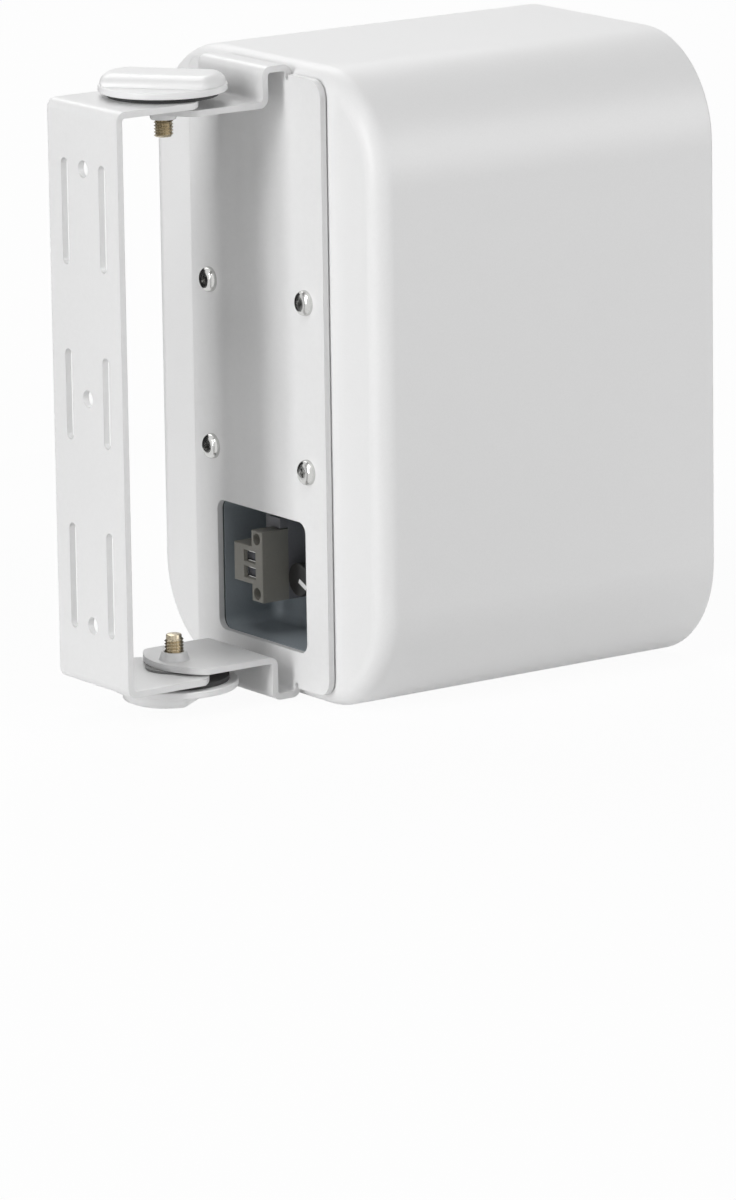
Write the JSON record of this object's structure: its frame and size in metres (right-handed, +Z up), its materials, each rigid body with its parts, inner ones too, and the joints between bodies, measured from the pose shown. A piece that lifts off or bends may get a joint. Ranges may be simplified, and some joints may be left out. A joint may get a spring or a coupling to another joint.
{
  "type": "loudspeaker",
  "caption": "Small surface-mount loudspeaker with a rounded cabinet, folded rear plate, swivelling U-shaped wall bracket with hand knobs, and a recessed terminal plug with tap selector.",
  "frame": {"origin": "centre of the bounding box's bottom face, on the floor that the cabinet stands on", "axes": "+Z up, -Y out of the grille, +Y towards the wall behind the bracket, +X to the right as seen from the front"},
  "size_m": [0.1216, 0.1946, 0.2],
  "materials": {
    "cabinet_plastic": "fine satin moulding",
    "powder_coat": "white powder coat",
    "knob_plastic": "satin gloss",
    "gasket_rubber": "matte",
    "bright_steel": "bright zinc",
    "dark_steel": "blackened",
    "yellow_zinc": "yellow zinc plate",
    "grey_nylon": "matte",
    "grey_plastic": "satin moulding",
    "black_plastic": "matte",
    "plug_plastic": "matte",
    "black_cloth": "fine weave",
    "black_paint": "satin",
    "ferrite": "ground",
    "coil_foil": "lacquered",
    "cone_paper": "pressed pulp",
    "surround_rubber": "satin",
    "spider_cloth": "resin cloth",
    "board_laminate": "solder mask",
    "copper_wire": "enamelled",
    "capacitor_plastic": "epoxy",
    "wadding": "polyester fleece"
  },
  "bodies": {
    "wall_bracket": {"wall_bracket": "powder_coat"},
    "speaker": {"cabinet_shell": "cabinet_plastic", "rear_plate": "powder_coat", "plate_gasket": "gasket_rubber", "plate_screws": "bright_steel", "friction_washers": "grey_nylon", "terminal_cup": "grey_plastic", "terminal_header": "black_plastic", "terminal_plug": "plug_plastic", "wire_clamps": "bright_steel", "clamp_screws": "bright_steel", "ear_screws": "bright_steel", "tap_switch": "black_plastic", "front_baffle": "black_plastic", "baffle_screws": "dark_steel", "front_grille": "powder_coat", "grille_cloth": "black_cloth", "woofer_basket": "black_paint", "woofer_top_plate": "dark_steel", "woofer_magnet": "ferrite", "woofer_yoke": "dark_steel", "woofer_surround": "surround_rubber", "woofer_spider": "spider_cloth", "woofer_screws": "dark_steel", "tweeter_plate": "black_plastic", "tweeter_magnet": "dark_steel", "tweeter_screws": "dark_steel", "crossover_board": "board_laminate", "board_screws": "bright_steel", "crossover_choke": "copper_wire", "crossover_capacitors": "capacitor_plastic", "transformer_core": "dark_steel", "transformer_winding": "copper_wire", "transformer_straps": "bright_steel", "damping_wadding": "wadding"},
    "upper_hand_knob": {"upper_bolt": "yellow_zinc", "upper_knob": "knob_plastic"},
    "lower_hand_knob": {"lower_bolt": "yellow_zinc", "lower_knob": "knob_plastic"},
    "tap_selector": {"tap_knob": "black_plastic"},
    "woofer_moving": {"woofer_coil": "coil_foil", "woofer_cone": "cone_paper", "dust_cap": "cone_paper"},
    "tweeter_moving": {"tweeter_dome": "black_cloth"}
  },
  "joints": [
    {"name": "pan_swivel", "type": "hinge", "parent": "wall_bracket", "child": "speaker", "pos_m": [0, 0.0676, 0.1011], "axis": [0, 0, 1], "range_deg": [-45, 45]},
    {"name": "upper_knob_turn", "type": "hinge", "parent": "speaker", "child": "upper_hand_knob", "pos_m": [0, 0.0676, 0.195], "axis": [0, 0, 1], "continuous": true},
    {"name": "lower_knob_turn", "type": "hinge", "parent": "speaker", "child": "lower_hand_knob", "pos_m": [0, 0.0676, 0.005], "axis": [0, 0, 1], "continuous": true},
    {"name": "tap_select", "type": "hinge", "parent": "speaker", "child": "tap_selector", "pos_m": [-0.0062, 0.016, 0.0353], "axis": [0, 1, 0], "range_deg": [-150, 150]},
    {"name": "woofer_travel", "type": "slide", "parent": "speaker", "child": "woofer_moving", "axis": [0, 1, 0], "range_m": [-0.0025, 0.0025], "stiffness_N_per_m": 1200},
    {"name": "tweeter_travel", "type": "slide", "parent": "speaker", "child": "tweeter_moving", "axis": [0, 1, 0], "range_m": [-0.0003, 0.0003], "stiffness_N_per_m": 3000}
  ]
}
